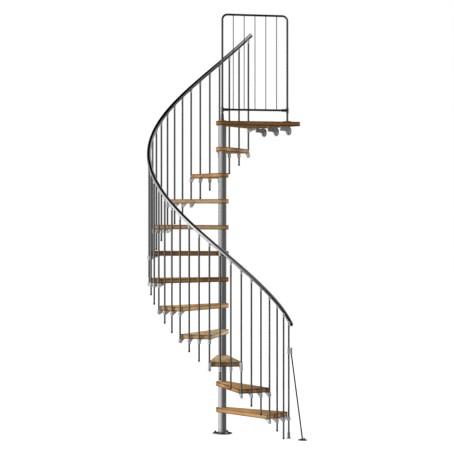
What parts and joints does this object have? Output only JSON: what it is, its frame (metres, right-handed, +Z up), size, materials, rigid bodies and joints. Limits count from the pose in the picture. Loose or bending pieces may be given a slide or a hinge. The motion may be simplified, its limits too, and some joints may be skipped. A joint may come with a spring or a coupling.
{
  "type": "spiral staircase",
  "caption": "Clockwise spiral stair with winder wood treads on a steel column, slim balusters, a helical handrail and a guarded landing.",
  "frame": {"origin": "column axis at the underside of the base flange, on the finished floor", "axes": "+Z up along the column, +X to the landing's side, +Y away from the side that the first tread faces"},
  "size_m": [1.3641, 1.304, 3.63],
  "materials": {
    "wood": "satin lacquered beech",
    "column_steel": "satin",
    "baluster_steel": "satin",
    "clamp_metal": "cast, satin",
    "rail_metal": "satin",
    "guard_steel": "satin",
    "foot_steel": "satin grey"
  },
  "bodies": {
    "root": {"baluster_clamps_01": "clamp_metal", "baluster_clamps_02": "clamp_metal", "baluster_clamps_03": "clamp_metal", "baluster_clamps_04": "clamp_metal", "baluster_clamps_05": "clamp_metal", "baluster_clamps_06": "clamp_metal", "baluster_clamps_07": "clamp_metal", "baluster_clamps_08": "clamp_metal", "baluster_clamps_09": "clamp_metal", "baluster_clamps_10": "clamp_metal", "baluster_clamps_11": "clamp_metal", "balusters_01": "baluster_steel", "balusters_02": "baluster_steel", "balusters_03": "baluster_steel", "balusters_04": "baluster_steel", "balusters_05": "baluster_steel", "balusters_06": "baluster_steel", "balusters_07": "baluster_steel", "balusters_08": "baluster_steel", "balusters_09": "baluster_steel", "balusters_10": "baluster_steel", "balusters_11": "baluster_steel", "base_flange": "column_steel", "brace_clamp": "clamp_metal", "brace_foot": "foot_steel", "brace_rod": "baluster_steel", "centre_pole": "column_steel", "column_cap": "column_steel", "column_spacers": "column_steel", "guard_frame": "guard_steel", "guard_lower_rail": "guard_steel", "guard_rods": "guard_steel", "guard_sockets": "guard_steel", "handrail": "rail_metal", "handrail_saddles": "clamp_metal", "landing": "wood", "landing_clamp": "clamp_metal", "newel_foot": "foot_steel", "newel_post": "baluster_steel", "tread_01": "wood", "tread_02": "wood", "tread_03": "wood", "tread_04": "wood", "tread_05": "wood", "tread_06": "wood", "tread_07": "wood", "tread_08": "wood", "tread_09": "wood", "tread_10": "wood", "tread_11": "wood", "wall_bracket_1": "foot_steel", "wall_bracket_2": "foot_steel", "wall_bracket_3": "foot_steel"}
  },
  "joints": []
}
